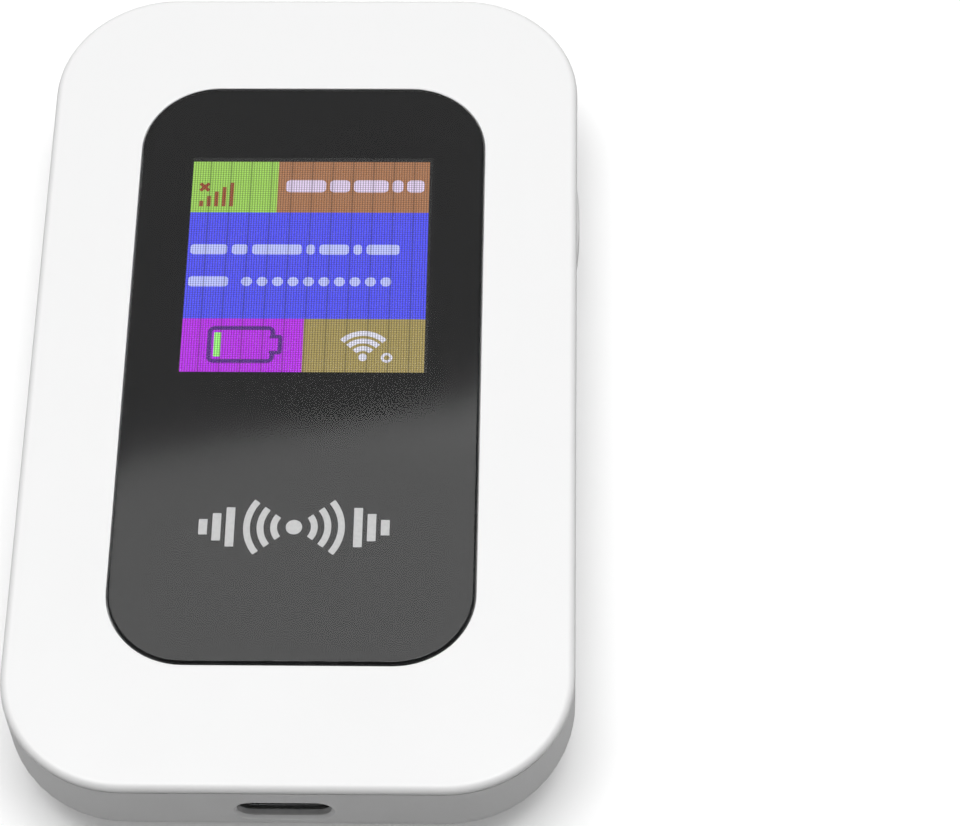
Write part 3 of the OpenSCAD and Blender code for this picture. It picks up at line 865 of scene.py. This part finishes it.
@dataclass
class FrontShell(SubAssembly):
    """The front cover: a flat face with a rounded edge, a recess for the panel, and bosses behind it.

    Args:
        plan: Outline of the case.
        face_z: Height of the front face.
        edge: Radius of the outer edge.
        soft: Radius of the panel opening's edge.
        opening: Width, length, corner radius and middle along Y of the panel's recess.
        display: Width, length and middle along Y of the hole for the display.
        recess_z: Height of the recess's floor.
        plate_z: Height of the underside.
        lip: Outer inset, inner inset and lower end of the locating lip.
        key_room: Where the lip gives way to the power button: least X, middle along Y and half its length.
        bosses_at: Middles of the screw bosses.
        boss: Outer radius, bore radius and lower end of a boss.
        wall: Thickness and lower edge of the walls round the display, how far they reach from its middle
            along Y, and half the gap that they leave for its cable.
    """

    plan: CasePlan = field(default_factory=CasePlan)
    face_z: float = 12.5
    edge: float = 0.8
    soft: float = 0.12
    opening: tuple[float, float, float, float] = (37.8, 71.6, 8.3, 0.6)
    display: tuple[float, float, float] = (30.6, 35.6, 11.8)
    recess_z: float = 11.65
    plate_z: float = 11.0
    lip: tuple[float, float, float] = (1.7, 2.6, 9.8)
    key_room: tuple[float, float, float] = (25.0, 20.0, 6.8)
    bosses_at: tuple[tuple[float, float], ...] = (
        (-21.5, -40.5), (21.5, -40.5), (-21.5, 40.5), (21.5, 40.5), (0.0, 33.5)
    )
    boss: tuple[float, float, float] = (1.9, 0.7, 8.0)
    wall: tuple[float, float, float, float] = (0.7, 9.25, 18.5, 6.5)

    def opening_loop(self, grow: float, z: float) -> np.ndarray:
        """Returns the panel opening's outline, grown by that much, at height z."""
        width, length, radius, middle = self.opening
        return rounded_loop(width + 2 * grow, length + 2 * grow, radius + grow, z, middle)

    def shell(self) -> Surface:
        """Works out the shell as one profile carried round the case and joined to itself.

        The outer edge is inset = r (1 - cos a), z = bottom + r sin a. The opening's edge is the same arc
        turned inwards. Where the power button's flange needs room, the lip is lifted to the underside.

        Returns:
            The closed surface.
        """
        plan, side = self.plan, self.face_z - self.edge
        width, length, middle = self.display
        loops = [plan.loop(0.05, side), plan.loop(0.014, side + 0.014)]
        for turn in np.radians([4, 10, 18, 26, 34, 42, 50, 58, 66, 74, 82, 90]):
            loops.append(plan.loop(self.edge * (1 - math.cos(turn)), side + self.edge * math.sin(turn)))
        loops.append(plan.loop(self.edge + 0.5, self.face_z))
        loops.append(self.opening_loop(self.soft + 0.4, self.face_z))
        for turn in np.radians([90, 68, 45, 22, 0]):
            drop = self.soft * (1 - math.sin(turn))
            loops.append(self.opening_loop(self.soft * (1 - math.cos(turn)), self.face_z - drop))
        loops.append(self.opening_loop(0, self.recess_z))
        loops.append(rounded_loop(width, length, 0.25, self.recess_z, middle))
        loops.append(rounded_loop(width, length, 0.25, self.plate_z, middle))
        outer, inner, low = self.lip
        for inset, z in ((inner, self.plate_z), (inner, low), (outer, low), (outer, side)):
            loops.append(plan.loop(inset, z))
        stack = np.stack(loops)
        key_x, key_y, reach = self.key_room
        x, y, z = np.moveaxis(stack, -1, 0)
        near_key = (x > key_x) & (np.abs(y - key_y) < reach) & (z < self.plate_z)
        stack[..., 2] = np.where(near_key, self.plate_z - 0.02, z)
        return skin(stack, Ends.JOINED)

    def bosses(self) -> list[Surface]:
        """Works out the screw bosses: each is a tube, a ring profile of two radii carried round a circle."""
        outer, bore, low = self.boss
        cut, top = 0.1, self.plate_z + 0.1
        section = ((outer, top), (outer, low + cut), (outer - cut, low), (bore + cut, low), (bore, low + cut),
                   (bore, top))
        stacks = [np.stack([circle_loop(r, z, at) for r, z in section]) for at in self.bosses_at]
        return [skin(stack, Ends.JOINED) for stack in stacks]

    def build(self) -> None:
        """Builds the shell, its bosses and the walls that hold the display, as one piece."""
        thick, low, reach, gap = self.wall
        high, side = self.plate_z + 0.1, self.display[0] / 2
        rear, front = self.display[2] + reach, self.display[2] - reach
        walls = [
            bar_plate(-side - thick, front, -side, rear, low, high),
            bar_plate(side, front, side + thick, rear, low, high),
            bar_plate(-side, rear - thick, side, rear, low, high),
            bar_plate(-side, front, -gap, front + thick, low, high),
            bar_plate(gap, front, side, front + thick, low, high),
        ]
        made = put_in_blender("front_cover_moulded", [self.shell(), *self.bosses(), *walls])
        stand_for(made, "front_cover")


@dataclass
class FrontPanel(SubAssembly):
    """The clear front panel, with its black print behind it and its silver mark on its face.

    Args:
        size: Width, length and corner radius.
        middle: Middle along Y.
        low: Height of the back face, just inside the print, which is bonded to it.
        top: Height of the front face.
        chamfer: Width of the polished chamfer round the front face.
    """

    size: tuple[float, float, float] = (37.6, 71.4, 8.2)
    middle: float = 0.6
    low: float = 11.79
    top: float = 12.8
    chamfer: float = 0.22
    kept = ("lens_print", "lens_emblem", "lens_adhesive")

    def loop(self, inset: float, z: float) -> np.ndarray:
        """Returns the panel's outline, moved in by the inset, at height z."""
        width, length, radius = self.size
        return rounded_loop(width - 2 * inset, length - 2 * inset, radius - inset, z, self.middle)

    def build(self) -> None:
        """Builds the panel as a stack of outlines, upright at the side and then in along the chamfer."""
        cut, top = self.chamfer, self.top
        steps = [(0.04, self.low), (0.0, self.low + 0.04), (0.0, top - cut - 0.03), (0.012, top - cut),
                 (cut - 0.02, top - 0.014), (cut + 0.03, top), (cut + 1.5, top)]
        stack = np.stack([self.loop(inset, z) for inset, z in steps])
        stand_for(put_in_blender("front_panel_clear", [skin(stack)]), "lens_panel")


@dataclass
class DisplayModule(SubAssembly):
    """The colour display: its glass, light guide, cable and pads, and the picture that it shows.

    The picture is drawn in millimetres from its upper left corner, X to the right and Y down. It has no
    lettering: dashes stand for the words, and dots for a hidden key.

    Args:
        size: Width and height of the lit picture.
        shift: Middle of the picture along X, as the module sits in its frame.
        middle: Middle of the picture along Y.
        top: Height of the display's glass.
        layer: Thickness of one layer of the picture's plates.
        sink: How far the plates reach into the glass.
    """

    size: tuple[float, float] = (26.0, 27.3)
    shift: float = -0.15
    middle: float = 13.26
    top: float = 11.45
    layer: float = 0.012
    sink: float = 0.02
    copies = {"lcd_flex": 0.0}
    kept = ("lcd_glass", "lcd_backlight", "lcd_pad", "lcd_gasket", "lcd_connector")

    def spot(self, x: float, y: float) -> tuple[float, float]:
        """Returns a point of the picture in the frame's own X and Y."""
        return (self.shift + x - self.size[0] / 2, self.middle + self.size[1] / 2 - y)

    def span(self, layer: int = 2) -> tuple[float, float]:
        """Returns the lower and the upper height of that layer's plates; marks are on layer 2."""
        return (self.top - self.sink, self.top + self.layer * (layer + 1))

    def bar(
        self, x0: float, y0: float, x1: float, y1: float, colour: str, layer: int, radius: float = 0.0
    ) -> Surface:
        """Returns one bar of the picture, in its colour, on that layer over the glass."""
        left, lower = self.spot(x0, y1)
        right, upper = self.spot(x1, y0)
        plate = bar_plate(left, lower, right, upper, *self.span(layer), radius)
        return plate.coloured(linear(colour))

    def arc(
        self, x: float, y: float, radius: float, width: float, start: float, sweep: float, colour: str
    ) -> Surface:
        """Returns one arc of the picture about a point, in its colour."""
        plate = arc_plate(self.spot(x, y), radius, width, start, sweep, *self.span())
        return plate.coloured(linear(colour))

    def cross(self, x: float, y: float, size: float, colour: str) -> list[Surface]:
        """Returns a small cross of two slanting strokes about a point, in that colour."""
        centre = np.array(self.spot(x, y))
        strokes = []
        for slant in (1, -1):
            along = np.array([1.0, slant]) * size / 2
            across = np.array([-slant, 1.0]) * 0.14
            line = np.stack([centre - along, centre + along])
            plate = ribbon(line - across, line + across, *self.span())
            strokes.append(plate.coloured(linear(colour)))
        return strokes

    def frame_of(self, x0: float, y0: float, x1: float, y1: float, width: float, colour: str) -> Surface:
        """Makes a rounded outline: its rails are two rounded rectangles, one inside the other.

        Args:
            x0: Left edge.
            y0: Upper edge.
            x1: Right edge.
            y1: Lower edge.
            width: Width of the line.
            colour: Its colour, sRGB hex.

        Returns:
            The closed ring.
        """
        middle_x, middle_y = self.spot((x0 + x1) / 2, (y0 + y1) / 2)
        corner = 0.75
        rails = [
            rounded_loop(x1 - x0 - 2 * cut, y1 - y0 - 2 * cut, corner - cut, 0.0, middle_y, middle_x)[:, :2]
            for cut in (width, 0.0)
        ]
        ring = ribbon(rails[0], rails[1], *self.span(), Ends.JOINED)
        return ring.coloured(linear(colour))

    def fields(self) -> list[Surface]:
        """Returns the five coloured fields, edge to edge, over the black mask round the picture."""
        width, height = self.size
        upper, lower = 0.246 * height, 0.748 * height
        return [
            self.bar(-0.5, -0.5, width + 0.5, height + 0.5, "#000000", 0),
            self.bar(0, 0, 9.4, upper, "#8ebd4e", 1),
            self.bar(9.4, 0, width, upper, "#996845", 1),
            self.bar(0, upper, width, lower, "#4345df", 1),
            self.bar(0, lower, 13.0, height, "#a915d4", 1),
            self.bar(13.0, lower, width, height, "#95854a", 1),
        ]

    def status(self) -> list[Surface]:
        """Returns the signal bars with a cross over them, and the state line in dashes."""
        marks = self.cross(1.4, 3.4, 0.95, "#8a3a1c")
        for step in range(5):
            left = 0.9 + 0.82 * step
            marks.append(self.bar(left, 5.2 - 0.6 * step, left + 0.42, 5.95, "#8a4420", 2))
        left = 10.3
        for dash in (4.4, 2.2, 3.8, 1.2, 1.9):
            marks.append(self.bar(left, 2.45, left + dash, 4.05, "#cbbcd6", 2, 0.5))
            left += dash + 0.42
        return marks

    def network(self) -> list[Surface]:
        """Returns the network line in dashes, and the key line as a dash and ten dots."""
        marks, left = [], 0.3
        for dash in (4.0, 1.7, 5.4, 0.9, 3.2, 0.9, 3.6):
            marks.append(self.bar(left, 10.9, left + dash, 12.2, "#adb4ee", 2, 0.4))
            left += dash + 0.5
        marks.append(self.bar(0.3, 15.05, 4.6, 16.35, "#adb4ee", 2, 0.4))
        for dot in range(10):
            marks.append(self.arc(6.6 + 1.67 * dot, 15.7, 0.3, 0.58, 0, 360, "#adb4ee"))
        return marks

    def power(self) -> list[Surface]:
        """Returns the battery's outline with one green bar, and the wireless arcs with a small ring."""
        dark, field, pale = "#4a0a78", "#a915d4", "#cbcad8"
        marks = [
            self.frame_of(2.8, 21.4, 10.0, 26.0, 0.46, dark),
            self.bar(9.4, 22.5, 10.8, 24.9, dark, 2, 0.3),
            self.bar(9.3, 22.92, 10.38, 24.48, field, 3),
            self.bar(3.5, 22.2, 4.25, 25.2, "#8fe070", 2),
        ]
        for radius in (1.2, 2.15, 3.1):
            marks.append(self.arc(19.45, 25.35, radius, 0.6, 43, 94, pale))
        marks.append(self.arc(19.45, 25.25, 0.24, 0.46, 0, 360, pale))
        marks.append(self.arc(22.0, 25.3, 0.46, 0.3, 0, 360, pale))
        return marks

    def build(self) -> None:
        """Builds the picture as thin plates on the display's glass."""
        plates = self.fields() + self.status() + self.network() + self.power()
        made = put_in_blender("display_picture", plates, tinted=True)
        give_finish(made, DISPLAY_PICTURE)
        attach(made, body_of("lcd_glass"))
        LOG.info("%s: %d plates", made.name, len(plates))


@dataclass
class PowerKey(SubAssembly):
    """The power button on the right side, with its flange, its stem and the switch's plunger.

    Args:
        length: Size of the button along Y.
        height: Size of the button along Z.
        middle: Middle along Y and Z.
        face: Highest point of the crowned face along X.
        crown: Radius of the crown.
        flange: Where the flange lies along X.
        rim: How much longer and taller the flange is than the face.
        stem: Size of the stem along Y and Z, and where it starts and is joined along X.
        fillet: Radius of the edge round the face.
    """

    length: float = 10.6
    height: float = 3.0
    middle: tuple[float, float] = (20.0, 8.9)
    face: float = 29.28
    crown: float = 40.0
    flange: tuple[float, float] = (26.75, 27.45)
    rim: tuple[float, float] = (1.4, 1.0)
    stem: tuple[float, float, float, float] = (2.6, 1.4, 24.6, 25.6)
    fillet: float = 0.3
    copies = {"power_plunger": 0.0}

    def crowned(self, inset: float, drop: float) -> np.ndarray:
        """Works out one outline of the face.

        Its height is face - (R - sqrt(R^2 - y^2)) - drop, with y measured from the button's middle.

        Args:
            inset: How far the outline is moved in.
            drop: How far it lies under the crown.

        Returns:
            Places in millimetres.
        """
        outline = pill_loop(self.length - 2 * inset, self.height - 2 * inset, 0.0, *self.middle)
        bow = self.crown - np.sqrt(self.crown**2 - (outline[:, 1] - self.middle[0]) ** 2)
        outline[:, 0] = self.face - bow - drop
        return outline

    def build(self) -> None:
        """Builds the button from its flange to its crowned face, and the stem behind it."""
        y, z = self.middle
        low, high = self.flange
        wide, tall = self.length + self.rim[0], self.height + self.rim[1]
        loops = [
            pill_loop(wide - 0.1, tall - 0.1, low, y, z),
            pill_loop(wide, tall, low + 0.05, y, z),
            pill_loop(wide, tall, high - 0.05, y, z),
            pill_loop(wide - 0.1, tall - 0.1, high, y, z),
            pill_loop(self.length, self.height, high, y, z),
        ]
        for turn in np.radians([0, 18, 36, 54, 72, 90]):
            inset = self.fillet * (1 - math.cos(turn))
            loops.append(self.crowned(inset, self.fillet * (1 - math.sin(turn))))
        for inset in (0.6, 0.9, 1.15):
            loops.append(self.crowned(inset, 0.0))
        long, thick, start, joint = self.stem
        stem = np.stack([pill_loop(long, thick, x, y, z) for x in (start, joint, low + 0.1)])
        parts = [skin(np.stack(loops), Ends.RUNGS), skin(stem, Ends.RUNGS)]
        stand_for(put_in_blender("power_button_moulded", parts), "power_button")


class MiddleFrame(SubAssembly):
    """The middle frame with its battery bay, the screws that hold it, and the blank label in the bay."""

    copies = {"middle_frame": 0.05, "case_screws": 0.0}
    kept = ("bay_label",)


class CircuitBoard(SubAssembly):
    """The main board with all that is soldered to it, and the antennas that its sprung clips press on."""

    copies = {
        "usb_shell": 0.04,
        "usb_tongue": 0.05,
        "sim_cage": 0.0,
        "battery_connector": 0.06,
        "baseband_shield": 0.08,
        "rf_shield": 0.08,
        "wifi_shield": 0.08,
        "power_switch": 0.04,
        "reset_switch": 0.04,
        "reset_plunger": 0.05,
        "antenna_clips": 0.0,
        "battery_springs": 0.0,
    }
    kept = ("main_board", "board_chips", "board_passives", "usb_contacts", "sim_base", "sim_contacts",
            "main_antenna", "diversity_antenna", "wifi_antenna")


class BatteryPack(SubAssembly):
    """The lift-out battery: its cell in shrink film, its end cap and its terminals."""

    copies = {"battery_cell": 0.0, "battery_sleeve": 0.0, "battery_cap": 0.05}
    kept = ("battery_terminals",)


class BackCover(SubAssembly):
    """The snap-on back cover, with two strips of foam that hold the battery still."""

    copies = {"back_cover": 0.0}
    kept = ("cover_foam",)


# The studio ---------------------------------------------------------------------------------------


@dataclass(frozen=True)
class Softbox:
    """A flat rectangular light that faces down.

    Args:
        name: Name of the light.
        centre: Its place in metres.
        size: Width and depth in metres.
        radiance: How bright its face is; a white sheet facing it at the same brightness all round shows as 1.
        turn: How far it is turned about the vertical, in degrees.
    """

    name: str
    centre: tuple[float, float, float]
    size: tuple[float, float]
    radiance: float
    turn: float = 0.0

    def hang(self) -> None:
        """Adds the light; a flat lamp's power is pi times its radiance times its area."""
        lamp = bpy.data.lights.new(self.name, "AREA")
        lamp.shape = "RECTANGLE"
        lamp.size, lamp.size_y = self.size
        lamp.energy = math.pi * self.radiance * self.size[0] * self.size[1]
        made = bpy.data.objects.new(self.name, lamp)
        made.location = self.centre
        made.rotation_euler = (0.0, 0.0, math.radians(self.turn))
        made.visible_camera = False
        bpy.context.scene.collection.objects.link(made)


@dataclass
class Studio:
    """The floor, the lights and the camera.

    Args:
        lights: The softboxes overhead.
        ambient: Brightness of the room.
        flat: Radius of the flat part of the floor in metres.
        rise: How far out and how far up its rim runs from there, in metres.
        place: Where the camera stands, in millimetres.
        elevation: How far above the horizon it stands, in degrees.
        azimuth: How far round it stands, in degrees.
        roll: How far its picture is turned, in degrees.
        lens: Focal length for a film 36 mm wide.
    """

    lights: tuple[Softbox, ...] = (
        Softbox("key_overhead", (0.0, 0.05, 1.0), (1.1, 0.5), 4.82),
        Softbox("panel_glow", (-0.0687, 0.4262, 1.0), (1.2, 0.30), 2.06, 11.2),
        Softbox("rear_card", (0.0, 1.0, 1.01), (1.6, 0.86), 0.40),
    )
    ambient: float = 0.13
    flat: float = 2.0
    rise: tuple[float, float] = (0.8, 0.9)
    place: tuple[float, float, float] = (28.297, -191.552, 323.991)
    elevation: float = 59.123
    azimuth: float = 2.891
    roll: float = -2.229
    lens: float = 129.757

    def floor(self) -> None:
        """Lays a seamless floor: flat first, then up a quarter ellipse, as a profile carried round."""
        climb = np.linspace(0.1, math.pi / 2, 14)
        out, up = self.rise
        radii = np.concatenate([np.linspace(0.002, self.flat, 6), self.flat + out * np.sin(climb)])
        lift = np.concatenate([np.zeros(6), up * (1 - np.cos(climb))])
        steps = 96
        turn = np.arange(steps) * 2 * math.pi / steps
        points = np.stack([
            radii[:, None] * np.cos(turn)[None, :],
            radii[:, None] * np.sin(turn)[None, :],
            np.broadcast_to(lift[:, None], (len(radii), steps)) - 0.0001,
        ], axis=-1)
        numbers = np.arange(len(radii) * steps).reshape(-1, steps)
        low, high = numbers[:-1], numbers[1:]
        quads = np.stack([low, high, np.roll(high, -1, 1), np.roll(low, -1, 1)], axis=-1).reshape(-1, 4)
        mesh = bpy.data.meshes.new("studio_floor")
        mesh.from_pydata(points.reshape(-1, 3).tolist(), [], quads.tolist() + [numbers[0].tolist()])
        mesh.shade_smooth()
        made = bpy.data.objects.new("studio_floor", mesh)
        bpy.context.scene.collection.objects.link(made)
        give_finish(made, STUDIO_PAPER)

    def camera(self) -> None:
        """Places the camera from its elevation, azimuth and roll."""
        el, az, roll = (math.radians(v) for v in (self.elevation, self.azimuth, self.roll))
        back = np.array([math.sin(az) * math.cos(el), -math.cos(az) * math.cos(el), math.sin(el)])
        right = np.array([math.cos(az), math.sin(az), 0.0])
        up = np.cross(back, right)
        across = math.cos(roll) * right + math.sin(roll) * up
        upward = -math.sin(roll) * right + math.cos(roll) * up
        pose = np.eye(4)
        pose[:3, :3] = np.column_stack([across, upward, back])
        pose[:3, 3] = np.array(self.place) * MM
        data = bpy.data.cameras.new("camera")
        data.sensor_width = 36.0
        data.lens = self.lens
        data.clip_start = 0.01
        made = bpy.data.objects.new("camera", data)
        made.matrix_world = Matrix(pose.tolist())
        bpy.context.scene.collection.objects.link(made)
        bpy.context.scene.camera = made

    def build(self) -> None:
        """Sets up the whole studio."""
        scene = bpy.context.scene
        scene.view_settings.view_transform = "Standard"
        world = bpy.data.worlds.new("room")
        world.use_nodes = True
        sky = world.node_tree.nodes["Background"]
        sky.inputs["Color"].default_value = (1.0, 1.0, 1.0, 1.0)
        sky.inputs["Strength"].default_value = self.ambient
        scene.world = world
        self.floor()
        self.camera()
        for softbox in self.lights:
            softbox.hang()
            LOG.info("light %s", softbox.name)


def main() -> None:
    """Builds the studio and then every sub-assembly."""
    logging.basicConfig(level=logging.INFO, format="%(name)s: %(message)s")
    Studio().build()
    groups: list[SubAssembly] = [
        BackCover(),
        BatteryPack(),
        MiddleFrame(),
        CircuitBoard(),
        DisplayModule(),
        PowerKey(),
        FrontShell(),
        FrontPanel(),
    ]
    for group in groups:
        group.build()
        group.dress()
        LOG.info("finished %s", type(group).__name__)


if __name__ == "__main__":
    main()
